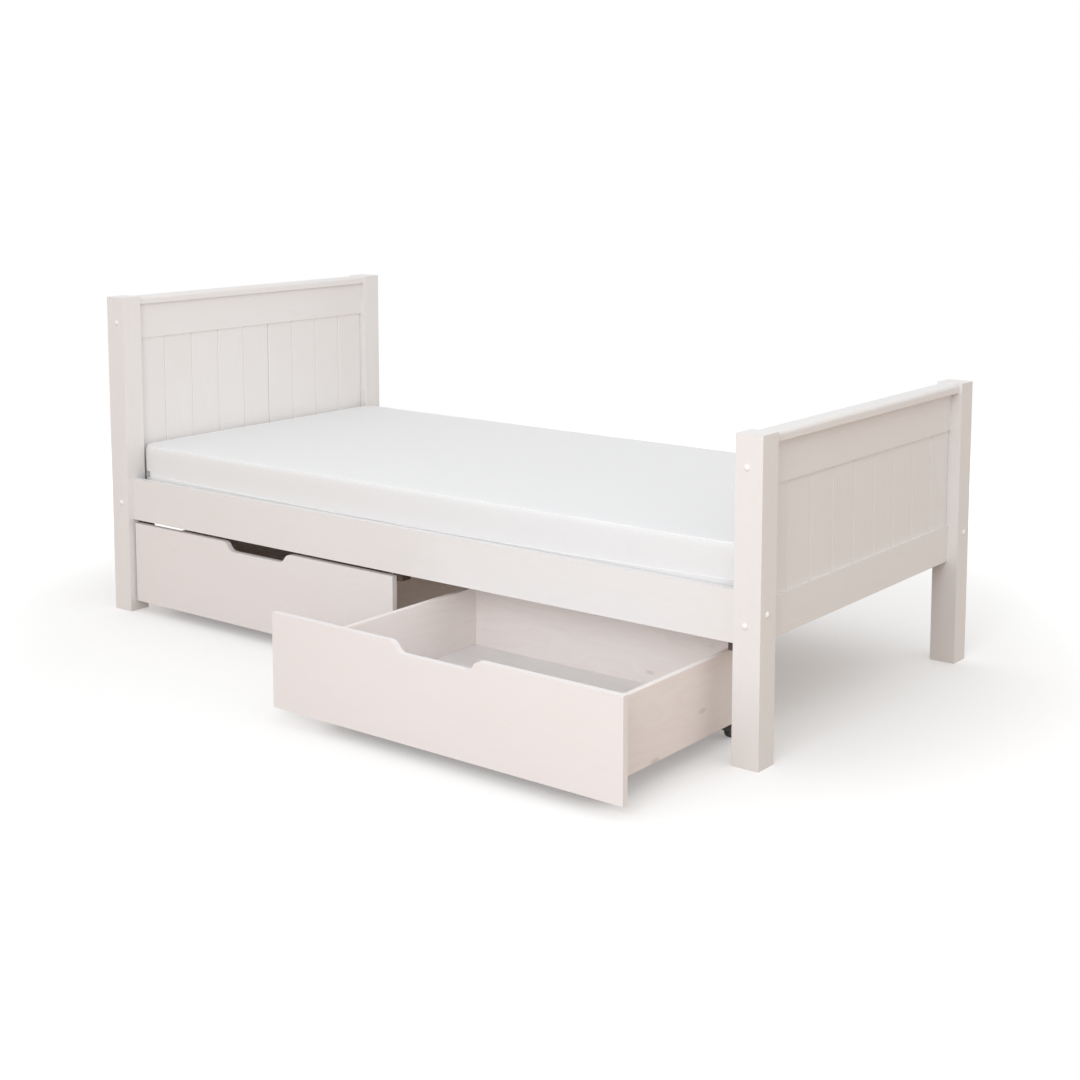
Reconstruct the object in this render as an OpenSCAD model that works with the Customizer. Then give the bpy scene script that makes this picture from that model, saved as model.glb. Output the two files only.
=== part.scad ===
// Single bed with a panelled headboard and footboard, a slatted base, a mattress
// and two drawers on castors that roll out from under the front side.
// X runs along the bed towards the foot, -Y is the side that the drawers open to,
// Z is up, and the origin is on the floor under the middle of the bed.

/* [Bed] */
// Length over the posts
bed_length = 2000; // [1700:10:2400]
// Width over the posts
bed_width = 974; // [800:2:1600]
// Height of the posts at the head
head_height = 842; // [700:1:1100]
// Height of the posts at the foot
foot_height = 681; // [560:1:820]
// Clear height under the rails
rail_z = 249; // [207:1:300]

/* [Posts] */
// Post size along the bed
post_length = 63; // [52:1:90]
// Post size across the bed
post_width = 59; // [49:1:90]

/* [Head and foot panels] */
// Set back of the end rails from the outside of the posts
end_inset = 26; // [20:1:32]
// Thickness of the end rails
end_rail_t = 20; // [17:1:26]
// Height of the rail under each capping
top_rail_h = 92; // [76:1:120]
// Height of the rail at the bottom of each panel
bottom_rail_h = 88; // [73:1:106]
// Thickness of each capping
cap_t = 20; // [16:1:30]
// Set back of the capping from both faces of the posts
cap_inset = 6.5; // [4:0.5:8]
// Radius of the capping's upper edges
cap_round = 8; // [4:0.5:10]
// How far the capping lies below the post tops
cap_drop = 1.5; // [0:0.5:8]
// Nominal width of the panel boards
board_w = 95; // [79:1:120]
// Thickness of the panel boards
board_t = 12; // [10:1:13]
// Depth of the slot that holds each board end
board_slot = 10; // [8:1:16]
// Chamfer on the long edges of each board
board_chamfer = 2.2; // [1:0.1:2.5]
// Width of the joint between the two halves of each panel
panel_seam = 2; // [0.5:0.5:3]

/* [Side rails] */
// Set back of the side rails from the outside of the posts
side_inset = 17; // [12:1:21]
// Thickness of the side rails
side_rail_t = 18; // [15:1:24]
// Height of the side rails
side_rail_h = 110; // [98:1:140]

/* [Slatted base] */
// Height of the strips that carry the slats
ledger_h = 28; // [23:1:40]
// Width of the strips that carry the slats
ledger_w = 30; // [25:1:40]
// Thickness of the slats
slat_t = 18; // [15:1:25]
// Width of the slats
slat_w = 70; // [58:1:90]
// Nominal distance from slat to slat
slat_pitch = 134; // [115:1:160]
// Width of the straps that join the slats
tape_w = 25; // [20:1:40]
// Thickness of the straps
tape_t = 1.2; // [0.8:0.1:2]
// Gap between the posts and the first slat
slat_end_room = 15; // [5:1:30]

/* [Mattress] */
// Thickness of the mattress
mattress_t = 155; // [100:5:220]
// Corner radius of the mattress, made larger where the posts need it
mattress_corner = 66; // [55:1:120]
// Gap between the mattress and the side rails
mattress_side_gap = 3; // [1:0.5:10]
// Gap between the mattress and the end rails
mattress_end_gap = 4; // [1:0.5:15]

/* [Drawers] */
// How far the right drawer stands open
drawer_open = 387; // [0:1:460]
// Depth from the face of the front to the back of the box
drawer_depth = 543; // [440:1:650]
// Thickness of the drawer fronts
front_t = 15; // [12:1:22]
// Clear height under the drawer fronts
front_floor_gap = 28; // [12:1:34]
// Gap between the drawer fronts and the side rail above
front_top_gap = 9.5; // [6:0.5:12]
// Gap between a drawer front and the post
front_end_gap = 6.5; // [4:0.5:12]
// Gap between the two drawer fronts
front_mid_gap = 4; // [2:0.5:10]
// How far the top of the box lies below the top of the front
box_drop = 33; // [20:1:45]
// Length of the front past the box at the bed's end
overhang_outer = 55; // [20:1:80]
// Length of the front past the box at the bed's middle
overhang_inner = 118; // [20:1:140]
// Thickness of the box's sides and back
box_wall = 13; // [11:1:18]
// Thickness of the box's base
base_t = 6; // [4:0.5:8]
// Depth of the groove that holds the base
base_groove = 6; // [4:0.5:7]
// Height of the box's sides below the base
box_skirt = 14.5; // [12:0.5:20]
// Width of the battens that carry the castors
batten_w = 60; // [50:1:90]
// Width of the hand grip at its top
grip_w = 246; // [180:1:300]
// Width of the flat bottom of the hand grip
grip_flat_w = 165; // [100:1:172]
// Depth of the hand grip
grip_depth = 23; // [15:1:30]
// Distance that a stop block reaches below the strip above it
stop_h = 22; // [18:1:30]
// Distance from the drawer front to the middle of the front castors
castor_in = 80; // [38:1:120]

/* [Castors] */
// Wheel diameter
wheel_d = 39; // [32:0.5:46]
// Wheel width
wheel_w = 16; // [12:0.5:20]
// Axle diameter
axle_d = 5; // [4:0.5:6]
// Thickness of the mounting plate
plate_t = 2.5; // [2:0.1:4]
// Length of the mounting plate
plate_l = 50; // [44:1:60]
// Width of the mounting plate
plate_w = 30; // [28:1:40]
// Thickness of the cheeks and the hood
cheek_t = 2; // [1.5:0.1:3]
// Space between the wheel and the parts round it
wheel_space = 1.5; // [1:0.1:2.5]

/* [Fittings] */
// Diameter of the frame bolts
bolt_d = 6; // [5:0.5:8]
// Length of the frame bolts under the head
bolt_l = 95; // [90:1:110]
// Diameter of the bolt heads
bolt_head_d = 11.5; // [10:0.5:14]
// Height of the bolt heads
bolt_head_h = 5; // [4:0.5:6]
// Depth of the recess for each bolt head
bolt_recess = 9; // [8.5:0.5:12]
// Diameter of the caps over the bolts
bolt_cap_d = 15; // [14:0.5:20]
// Height of the caps over the bolts
bolt_cap_h = 4; // [2:0.5:6]
// Diameter of the barrel nuts
nut_d = 10; // [8:0.5:12]
// Length of the barrel nuts
nut_l = 12; // [9:0.5:12]
// Distance from a rail's end to its barrel nut
nut_in = 31; // [26:1:34]
// Height of the side rails' bolts above the lower edge
side_bolt_up = 68; // [57:1:72]
// Dowel diameter in the frame
dowel_d = 8; // [6:0.5:8]
// Dowel length in the frame
dowel_l = 36; // [30:1:40]
// Screw diameter
screw_d = 3.5; // [3:0.5:4.5]

/* [Hidden] */
$fn = 48;
fit = 0.05;          // radial clearance of a glued or threaded fit
loose = 0.5;         // radial clearance of a bolt hole
rest_gap = 0.3;      // gap under the mattress, which lifts off
post_clear = 2;      // gap between the mattress's corners and the posts
pilot_extra = 1;     // how much deeper a blind hole is than what it holds
overcut = 1;         // how far a cutter passes through a face
tape_share = 0.35;   // place of the straps, as a share of the width between the side rails
ledger_end_gap = 1;  // gap between the ends of the strips and the posts
screw_inset = 5;     // from a castor plate's edges to its screws
boss_t = 3;          // wall round a castor's axle
axle_head_t = 0.8;   // thickness of the axle pins' heads
HEAD = -1;
FOOT = 1;
FRONT = -1;
BACK = 1;
LEFT = -1;
RIGHT = 1;

// Frame planes, measured from the middle of the bed
post_in_x = bed_length / 2 - post_length;
post_in_y = bed_width / 2 - post_width;
end_out_x = bed_length / 2 - end_inset;
end_in_x = end_out_x - end_rail_t;
end_mid_x = (end_out_x + end_in_x) / 2;
side_out_y = bed_width / 2 - side_inset;
side_in_y = side_out_y - side_rail_t;
side_mid_y = (side_out_y + side_in_y) / 2;
side_top_z = rail_z + side_rail_h;
bottom_rail_top_z = rail_z + bottom_rail_h;
function post_height(end) = end == HEAD ? head_height : foot_height;
function cap_z(end) = post_height(end) - cap_drop - cap_t;
function top_rail_z(end) = cap_z(end) - top_rail_h;

// Panel boards
board_count = round(2 * post_in_y / board_w);
board_pitch = 2 * post_in_y / board_count;
board_gap = 0.5;
tongue_t = board_t / 3;
tongue_l = 5;
tongue_play = 0.3;

// Base and mattress
slat_z = rail_z + ledger_h;
deck_z = slat_z + slat_t;
slat_end_gap = 4;
slat_l = 2 * (side_in_y - slat_end_gap);
slat_run = 2 * post_in_x - slat_w - 2 * slat_end_room;
slat_gaps = floor(slat_run / slat_pitch);
slat_step = slat_run / slat_gaps;
slat_xs = [for (i = [0 : slat_gaps]) -slat_run / 2 + i * slat_step];
ledger_l = 2 * (post_in_x - ledger_end_gap);
tape_y = tape_share * 2 * side_in_y;
mattress_z = deck_z + rest_gap;
mattress_l = 2 * (end_in_x - mattress_end_gap);
mattress_w = 2 * (side_in_y - mattress_side_gap);

// The posts stand inside the mattress's outline, and this corner radius just clears them
past_post_x = max(0, mattress_l / 2 - post_in_x + post_clear);
past_post_y = max(0, mattress_w / 2 - post_in_y + post_clear);
clear_corner = past_post_x + past_post_y + sqrt(2 * past_post_x * past_post_y);
mattress_r = max(mattress_corner, clear_corner);

// Frame joints
side_bolt_z = rail_z + side_bolt_up;
end_bolt_z = rail_z + bottom_rail_h / 2;
dowel_spread = 26;
side_dowel_low = 20;
side_dowel_high = 14;
side_dowel_zs = [rail_z + side_dowel_low, rail_z + side_rail_h - side_dowel_high];
cap_dowel_l = 28;
cap_dowel_ys = [for (i = [-1.5 : 1 : 1.5]) i * post_in_y / 2];
function end_bolt_zs(end) = [end_bolt_z, top_rail_z(end) + top_rail_h / 2];

// Drawers, drawn as the left one closed; the right one is its mirror image
front_y = -side_out_y;
front_back_y = front_y + front_t;
front_z = front_floor_gap;
front_top_z = rail_z - front_top_gap;
front_x = [front_mid_gap / 2, post_in_x - front_end_gap];
front_mid_x = (front_x[0] + front_x[1]) / 2;
box_x = [front_x[0] + overhang_inner, front_x[1] - overhang_outer];
box_back_y = front_y + drawer_depth;
castor_h = wheel_d + 2 * wheel_space + cheek_t + plate_t;
box_z = castor_h;
box_top_z = front_top_z - box_drop;
base_z = box_z + box_skirt;
stop_z = rail_z - stop_h;
stop_y = front_back_y + loose;
stop_depth = ledger_w;
stop_l = 30;
box_dowel_d = 6;
box_dowel_l = 22;
box_screw_l = 30;
box_joint_in = 37;
box_joint_zs = [box_z + box_joint_in, box_top_z - box_joint_in];
castor_xs = [box_x[0] + box_wall + plate_w / 2 + loose, box_x[1] - box_wall - plate_w / 2 - loose];
castor_ys = [front_back_y + castor_in, box_back_y - plate_l / 2 - 1];
castor_screw_l = 12;
screw_head_d = 2 * screw_d;
screw_head_h = screw_d / 2;
ledger_screw_l = 38;
ledger_screw_in = 60;
ledger_screw_xs = [for (i = [-3 : 3]) i * (ledger_l / 2 - ledger_screw_in) / 3];

WOOD_PAINT = [0.93, 0.92, 0.90];
DRAWER_PAINT = [0.92, 0.90, 0.89];
BARE_PINE = [0.87, 0.78, 0.66];
STEEL = [0.66, 0.67, 0.68];
DARK_PLASTIC = [0.27, 0.28, 0.29];
CAP_PLASTIC = [0.95, 0.95, 0.95];
BASE_FOIL = [0.90, 0.91, 0.93];
STRAP = [0.90, 0.89, 0.85];
COVER = [0.95, 0.96, 0.97];

// ---- shared shapes ----------------------------------------------------------

// A box between two corners
module block(low, high) {
    translate(low) cube(high - low);
}

// Puts a child, drawn along +Z from a post's outer face inwards, on every bolt of one post
module at_bolts(end, side) {
    for (z = end_bolt_zs(end))
        translate([end * end_mid_x, side * bed_width / 2, z]) rotate([side * 90, 0, 0]) children();
    translate([end * bed_length / 2, side * side_mid_y, side_bolt_z])
        rotate([0, -end * 90, 0]) rotate([0, 0, end == side ? 90 : -90]) children();
}

// Puts a child, drawn along Z about its middle, on the dowels between an end rail and a post
module at_end_dowels(end, side, zs) {
    for (z = zs, up = [-1, 1])
        translate([end * end_mid_x, side * post_in_y, z + up * dowel_spread])
            rotate([90, 0, 0]) children();
}

// The same for the dowels between a side rail and a post
module at_side_dowels(end, side) {
    for (z = side_dowel_zs)
        translate([end * post_in_x, side * side_mid_y, z]) rotate([0, 90, 0]) children();
}

// The same for the upright dowels between a capping and its rail
module at_cap_dowels(end) {
    for (y = cap_dowel_ys)
        translate([end * end_mid_x, y, cap_z(end)]) children();
}

module dowel(d, l) {
    cylinder(d = d, h = l, center = true);
}

module dowel_hole(d, l) {
    cylinder(d = d + 2 * fit, h = l + 2 * pilot_extra, center = true);
}

// Everything that a bolt needs cut away, along +Z from the post's outer face
module bolt_bore() {
    translate([0, 0, -overcut])
        cylinder(d = bolt_head_d + 2 * loose, h = bolt_recess + overcut);
    cylinder(d = bolt_d + 2 * loose, h = bolt_recess + bolt_l + pilot_extra);
}

// Blind hole for a barrel nut about z = 0, open along +Z
module nut_hole(rail_t) {
    below = nut_l / 2 + pilot_extra;
    translate([0, 0, -below]) cylinder(d = nut_d + 2 * fit, h = below + rail_t / 2 + overcut);
}

// Countersunk screw along +Z, its head's face at z = 0
module wood_screw(l) {
    cylinder(d = screw_d, h = l);
    cylinder(d1 = screw_head_d, d2 = screw_d, h = screw_head_h);
}

module wood_screw_hole(l) {
    pilot_d = screw_d + 2 * fit;
    cylinder(d = pilot_d, h = l + pilot_extra);
    translate([0, 0, -fit])
        cylinder(d1 = screw_head_d + 2 * fit, d2 = pilot_d, h = screw_head_h + 2 * fit);
}

// ---- posts and panels -------------------------------------------------------

module post(end, side) {
    x = [bed_length / 2 - post_length, bed_length / 2];
    y = [bed_width / 2 - post_width, bed_width / 2];
    color(WOOD_PAINT) difference() {
        block([min(end * x), min(side * y), 0], [max(end * x), max(side * y), post_height(end)]);
        at_bolts(end, side) bolt_bore();
        at_end_dowels(end, side, end_bolt_zs(end)) dowel_hole(dowel_d, dowel_l);
        at_side_dowels(end, side) dowel_hole(dowel_d, dowel_l);
    }
}

// Capping between two posts, with its upper long edges rounded
module cap_rail(end) {
    wide = post_length - 2 * cap_inset;
    mid_x = end * (bed_length / 2 - post_length / 2);
    color(WOOD_PAINT) difference() {
        translate([mid_x, post_in_y, cap_z(end)]) rotate([90, 0, 0])
            linear_extrude(2 * post_in_y) {
                translate([-wide / 2, 0]) square([wide, cap_t - cap_round]);
                translate([-wide / 2 + cap_round, 0]) square([wide - 2 * cap_round, cap_t]);
                for (s = [-1, 1])
                    translate([s * (wide / 2 - cap_round), cap_t - cap_round]) circle(cap_round);
            }
        at_cap_dowels(end) dowel_hole(dowel_d, cap_dowel_l);
    }
}

// Rail of one panel, cut for its bolts, dowels and the slot that holds the boards.
// The barrel nuts go in from the head side of both panels.
module end_rail(end, z, h, bolt_z, slot_z) {
    x = [end_in_x, end_out_x];
    slot_x = [end_mid_x - board_t / 2 - fit, end_mid_x + board_t / 2 + fit];
    color(WOOD_PAINT) difference() {
        block([min(end * x), -post_in_y, z], [max(end * x), post_in_y, z + h]);
        block([min(end * slot_x), -post_in_y - overcut, slot_z],
              [max(end * slot_x), post_in_y + overcut, slot_z + board_slot + overcut]);
        for (side = [FRONT, BACK]) {
            at_bolts(end, side) bolt_bore();
            at_end_dowels(end, side, [bolt_z]) dowel_hole(dowel_d, dowel_l);
            translate([end * end_mid_x, side * (post_in_y - nut_in), bolt_z])
                rotate([0, -90, 0]) nut_hole(end_rail_t);
        }
        at_cap_dowels(end) dowel_hole(dowel_d, cap_dowel_l);
    }
}

module top_rail(end) {
    end_rail(end, top_rail_z(end), top_rail_h, end_bolt_zs(end)[1], top_rail_z(end) - overcut);
}

module bottom_rail(end) {
    end_rail(end, rail_z, bottom_rail_h, end_bolt_z, bottom_rail_top_z - board_slot);
}

// Half the gap at joint number i, counted from the front: an end, the panel's seam or a plain joint
function half_gap(end, i) =
    i == 0 || i == board_count ? fit : (i == seam_joint(end) ? panel_seam : board_gap) / 2;
function seam_joint(end) = end == HEAD ? ceil(board_count / 2) : floor(board_count / 2);

// Section of board number i: chamfered edges, a tongue at +Y and a groove at -Y
module board_section(end, i) {
    a = -board_pitch / 2 + half_gap(end, i);
    b = board_pitch / 2 - half_gap(end, i + 1);
    t = board_t / 2;
    c = board_chamfer;
    difference() {
        union() {
            polygon([[-t + c, a], [t - c, a], [t, a + c], [t, b - c],
                     [t - c, b], [-t + c, b], [-t, b - c], [-t, a + c]]);
            if (i < board_count - 1)
                translate([-tongue_t / 2, b - overcut]) square([tongue_t, tongue_l + overcut]);
        }
        if (i > 0)
            translate([-tongue_t / 2 - tongue_play, a - overcut])
                square([tongue_t + 2 * tongue_play, tongue_l + overcut + tongue_play + board_gap]);
    }
}

module boards(end) {
    low = bottom_rail_top_z - board_slot + fit;
    high = top_rail_z(end) + board_slot - fit;
    color(WOOD_PAINT)
        for (i = [0 : board_count - 1])
            translate([end * end_mid_x, -post_in_y + (i + 0.5) * board_pitch, low])
                linear_extrude(high - low) board_section(end, i);
}

// ---- side rails and slatted base ---------------------------------------------

module side_rail(side) {
    y = [side_in_y, side_out_y];
    color(WOOD_PAINT) difference() {
        block([-post_in_x, min(side * y), rail_z], [post_in_x, max(side * y), side_top_z]);
        for (end = [HEAD, FOOT]) {
            at_bolts(end, side) bolt_bore();
            at_side_dowels(end, side) dowel_hole(dowel_d, dowel_l);
            translate([end * (post_in_x - nut_in), side * side_mid_y, side_bolt_z])
                rotate([side * 90, 0, 0]) nut_hole(side_rail_t);
        }
        at_ledger_screws(side) wood_screw_hole(ledger_screw_l);
    }
}

// Puts a child, drawn along +Z, on each ledger screw of one side
module at_ledger_screws(side) {
    for (x = ledger_screw_xs)
        translate([x, side * (side_in_y - ledger_w), rail_z + ledger_h / 2])
            rotate([-side * 90, 0, 0]) children();
}

module slat_ledger(side) {
    y = [side_in_y - ledger_w, side_in_y];
    color(BARE_PINE) difference() {
        block([-ledger_l / 2, min(side * y), rail_z], [ledger_l / 2, max(side * y), slat_z]);
        at_ledger_screws(side) wood_screw_hole(ledger_screw_l);
    }
}

module slats() {
    color(BARE_PINE)
        for (x = slat_xs)
            block([x - slat_w / 2, -slat_l / 2, slat_z], [x + slat_w / 2, slat_l / 2, deck_z]);
}

// Straps under the slats, which keep them evenly spaced
module slat_tapes() {
    color(STRAP)
        for (side = [FRONT, BACK])
            block([slat_xs[0] - slat_w / 2, side * tape_y - tape_w / 2, slat_z - tape_t],
                  [slat_xs[slat_gaps] + slat_w / 2, side * tape_y + tape_w / 2, slat_z]);
}

// Dark plastic blocks behind the drawer fronts, which stop the drawers when they are shut
module drawer_stop_blocks() {
    reach = ledger_l / 2;
    color(DARK_PLASTIC)
        for (x = [-reach + stop_l / 2, 0, reach - stop_l / 2])
            block([x - stop_l / 2, stop_y, stop_z], [x + stop_l / 2, stop_y + stop_depth, rail_z]);
}

// ---- frame fittings -----------------------------------------------------------

module for_each_post() {
    for ($end = [HEAD, FOOT], $side = [FRONT, BACK]) children();
}

module frame_bolts() {
    color(STEEL) for_each_post() at_bolts($end, $side) {
        translate([0, 0, bolt_recess - bolt_head_h]) cylinder(d = bolt_head_d, h = bolt_head_h);
        translate([0, 0, bolt_recess - fit]) cylinder(d = bolt_d, h = bolt_l);
    }
}

module barrel_nut() {
    difference() {
        cylinder(d = nut_d, h = nut_l, center = true);
        rotate([90, 0, 0]) cylinder(d = bolt_d + 2 * fit, h = nut_d + 2 * overcut, center = true);
    }
}

module barrel_nuts() {
    color(STEEL) for_each_post() {
        for (z = end_bolt_zs($end))
            translate([$end * end_mid_x, $side * (post_in_y - nut_in), z])
                rotate([0, 90, 0]) barrel_nut();
        translate([$end * (post_in_x - nut_in), $side * side_mid_y, side_bolt_z])
            rotate([0, 0, 90]) rotate([0, 90, 0]) barrel_nut();
    }
}

module frame_dowels() {
    color(BARE_PINE) {
        for_each_post() {
            at_end_dowels($end, $side, end_bolt_zs($end)) dowel(dowel_d, dowel_l);
            at_side_dowels($end, $side) dowel(dowel_d, dowel_l);
        }
        for (end = [HEAD, FOOT]) at_cap_dowels(end) dowel(dowel_d, cap_dowel_l);
    }
}

// Domed caps that plug the bolt recesses
module bolt_caps() {
    dome_r = (pow(bolt_cap_d / 2, 2) + pow(bolt_cap_h, 2)) / (2 * bolt_cap_h);
    stem_l = bolt_recess - bolt_head_h - loose;
    color(CAP_PLASTIC) for_each_post() at_bolts($end, $side) {
        cylinder(d = bolt_head_d + 2 * loose - 2 * fit, h = stem_l);
        intersection() {
            translate([0, 0, dome_r - bolt_cap_h]) sphere(dome_r);
            translate([0, 0, -bolt_cap_h]) cylinder(d = bolt_cap_d, h = bolt_cap_h);
        }
    }
}

module ledger_screws() {
    color(STEEL) for (side = [FRONT, BACK]) at_ledger_screws(side) wood_screw(ledger_screw_l);
}

// ---- mattress -------------------------------------------------------------------

module mattress() {
    x = mattress_l / 2 - mattress_r;
    y = mattress_w / 2 - mattress_r;
    color(COVER) translate([0, 0, mattress_z]) {
        block([-x, -mattress_w / 2, 0], [x, mattress_w / 2, mattress_t]);
        block([-mattress_l / 2, -y, 0], [mattress_l / 2, y, mattress_t]);
        for (sx = [-1, 1], sy = [-1, 1])
            translate([sx * x, sy * y, 0]) cylinder(r = mattress_r, h = mattress_t);
    }
}

// ---- drawers ----------------------------------------------------------------------

// Puts a drawer, drawn at X > 0 and shut, in its place: the right one stands open
module place_drawer(hand) {
    translate([0, hand == RIGHT ? -drawer_open : 0, 0])
        mirror([hand == LEFT ? 1 : 0, 0, 0]) children();
}

// Outline of the hand grip about x = 0, its ends made of two equal tangent arcs
module grip_outline() {
    run = (grip_w - grip_flat_w) / 2;
    flat = grip_flat_w / 2;
    arc_r = (pow(run, 2) + pow(grip_depth, 2)) / (4 * grip_depth);
    turn = asin(run / 2 / arc_r);
    steps = 8;
    turns = [for (i = [0 : steps]) i * turn / steps];
    hollow = [for (a = turns) [flat + arc_r * sin(a), arc_r * (1 - cos(a))]];
    crest = [for (p = hollow) [2 * flat + run - p[0], grip_depth - p[1]]];
    half = concat(hollow, [for (i = [steps - 1 : -1 : 0]) crest[i]], [[flat + run, grip_depth + overcut]]);
    last = len(half) - 1;
    polygon(concat(half, [for (i = [last : -1 : 0]) [-half[i][0], half[i][1]]]));
}

// The base slides in grooves in the sides and the front, and passes under the back
module base_groove_cut() {
    block([box_x[0] + box_wall - base_groove, front_back_y - base_groove, base_z],
          [box_x[1] - box_wall + base_groove, box_back_y + overcut, base_z + base_t]);
}

// Puts a child, drawn along Y about its middle, on the dowels between the sides and the front
module at_box_dowels() {
    for (x = [box_x[0] + box_wall / 2, box_x[1] - box_wall / 2], z = box_joint_zs)
        translate([x, front_back_y + box_dowel_l / 2 - front_t / 2, z]) rotate([90, 0, 0]) children();
}

// Puts a child, drawn along +Z, on the screws through the sides into the back
module at_box_screws() {
    for (s = [0, 1], z = box_joint_zs)
        translate([box_x[s], box_back_y - box_wall / 2, z])
            rotate([0, s == 0 ? 90 : -90, 0]) children();
}

module drawer_front() {
    color(DRAWER_PAINT) difference() {
        block([front_x[0], front_y, front_z], [front_x[1], front_back_y, front_top_z]);
        translate([front_mid_x, front_back_y + overcut, front_top_z - grip_depth]) rotate([90, 0, 0])
            linear_extrude(front_t + 2 * overcut) grip_outline();
        base_groove_cut();
        at_box_dowels() dowel_hole(box_dowel_d, box_dowel_l);
    }
}

module drawer_side(which) {
    low = which == 0 ? box_x[0] : box_x[1] - box_wall;
    color(BARE_PINE) difference() {
        block([low, front_back_y, box_z], [low + box_wall, box_back_y, box_top_z]);
        base_groove_cut();
        at_box_dowels() dowel_hole(box_dowel_d, box_dowel_l);
        at_box_screws() wood_screw_hole(box_screw_l);
    }
}

module drawer_back() {
    color(BARE_PINE) difference() {
        block([box_x[0] + box_wall, box_back_y - box_wall, base_z + base_t],
              [box_x[1] - box_wall, box_back_y, box_top_z]);
        at_box_screws() wood_screw_hole(box_screw_l);
    }
}

module drawer_base() {
    play = 0.5;
    x = [box_x[0] + box_wall - base_groove + play, box_x[1] - box_wall + base_groove - play];
    color(BASE_FOIL)
        block([x[0], front_back_y - base_groove + play, base_z + fit],
              [x[1], box_back_y, base_z + base_t - fit]);
}

module drawer_battens() {
    inside = [box_x[0] + box_wall, box_x[1] - box_wall];
    color(BARE_PINE) difference() {
        for (x = [inside[0], (inside[0] + inside[1] - batten_w) / 2, inside[1] - batten_w])
            block([x, front_back_y, box_z], [x + batten_w, box_back_y, base_z]);
        at_castor_screws() wood_screw_hole(castor_screw_l);
    }
}

module drawer_dowels() {
    color(BARE_PINE) at_box_dowels() dowel(box_dowel_d, box_dowel_l);
}

module drawer_screws() {
    color(STEEL) at_box_screws() wood_screw(box_screw_l);
}

// ---- castors ------------------------------------------------------------------------

module at_castors() {
    for (x = castor_xs, y = castor_ys) translate([x, y, 0]) children();
}

module at_castor_screws() {
    at_castors()
        for (x = [-1, 1], y = [-1, 1])
            translate([x * (plate_w / 2 - screw_inset), y * (plate_l / 2 - screw_inset), castor_h - plate_t])
                children();
}

// Plate, two cheeks and the hood between them
module castor_housing() {
    r = wheel_d / 2;
    hood_r = r + wheel_space + cheek_t;
    gap_w = wheel_w + 2 * wheel_space;
    difference() {
        union() {
            block([-plate_w / 2, -plate_l / 2, castor_h - plate_t], [plate_w / 2, plate_l / 2, castor_h]);
            block([-gap_w / 2 - cheek_t, -hood_r, r], [gap_w / 2 + cheek_t, hood_r, castor_h - plate_t]);
            translate([0, 0, r]) rotate([0, 90, 0])
                cylinder(r = axle_d / 2 + boss_t, h = gap_w + 2 * cheek_t, center = true);
        }
        translate([0, 0, r]) rotate([0, 90, 0]) {
            cylinder(r = hood_r - cheek_t, h = gap_w, center = true);
            cylinder(d = axle_d + 2 * fit, h = plate_w, center = true);
        }
        difference() {
            block([-plate_w / 2, -plate_l, r], [plate_w / 2, plate_l, castor_h - plate_t]);
            translate([0, 0, r]) rotate([0, 90, 0]) cylinder(r = hood_r, h = plate_w, center = true);
            block([-plate_w, -r / 2, r], [plate_w, r / 2, castor_h]);
        }
    }
}

module castor_housings() {
    color(DARK_PLASTIC) difference() {
        at_castors() castor_housing();
        at_castor_screws() wood_screw_hole(castor_screw_l);
    }
}

// Axle pins with a head at each end
module castor_axles() {
    l = wheel_w + 2 * wheel_space + 2 * cheek_t;
    color(STEEL) at_castors() translate([0, 0, wheel_d / 2]) rotate([0, 90, 0]) {
        cylinder(d = axle_d, h = l + 2 * axle_head_t, center = true);
        for (s = [-1, 1])
            translate([0, 0, s * (l + axle_head_t) / 2])
                cylinder(d = axle_d + boss_t, h = axle_head_t, center = true);
    }
}

module castor_screws() {
    color(STEEL) at_castor_screws() wood_screw(castor_screw_l);
}

// Wheel with a rounded tread, dished faces and a hub, free to turn on its axle
module castor_wheel() {
    r = wheel_d / 2;
    bore_r = axle_d / 2 + 2 * fit;
    hub_r = axle_d / 2 + boss_t;
    edge = 3;
    rim = 4;
    dish = 2;
    color(DARK_PLASTIC) rotate([0, 90, 0]) rotate_extrude() difference() {
        union() {
            translate([bore_r, -wheel_w / 2]) square([r - edge - bore_r, wheel_w]);
            translate([r - edge - overcut, -wheel_w / 2 + edge])
                square([edge + overcut, wheel_w - 2 * edge]);
            for (s = [-1, 1]) translate([r - edge, s * (wheel_w / 2 - edge)]) circle(edge);
        }
        for (s = [-1, 1])
            translate([hub_r, s * (wheel_w / 2 - dish / 2 + overcut / 2) - (dish + overcut) / 2])
                square([r - rim - hub_r, dish + overcut]);
    }
}

module wheel(hand, x_index, y_index) {
    place_drawer(hand)
        translate([castor_xs[x_index], castor_ys[y_index], wheel_d / 2]) castor_wheel();
}

// ---- nodes ----------------------------------------------------------------------------

post(HEAD, FRONT);  // post_head_front
post(HEAD, BACK);  // post_head_back
post(FOOT, FRONT);  // post_foot_front
post(FOOT, BACK);  // post_foot_back
cap_rail(HEAD);  // headboard_cap_rail
top_rail(HEAD);  // headboard_top_rail
boards(HEAD);  // headboard_boards
bottom_rail(HEAD);  // headboard_bottom_rail
cap_rail(FOOT);  // footboard_cap_rail
top_rail(FOOT);  // footboard_top_rail
boards(FOOT);  // footboard_boards
bottom_rail(FOOT);  // footboard_bottom_rail
side_rail(FRONT);  // side_rail_front
side_rail(BACK);  // side_rail_back
slat_ledger(FRONT);  // slat_ledger_front
slat_ledger(BACK);  // slat_ledger_back
slats();
slat_tapes();
drawer_stop_blocks();
frame_bolts();
barrel_nuts();
frame_dowels();
bolt_caps();
ledger_screws();
mattress();
place_drawer(LEFT) drawer_front();  // left_drawer_front
place_drawer(LEFT) drawer_side(1);  // left_drawer_outer_side
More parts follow.
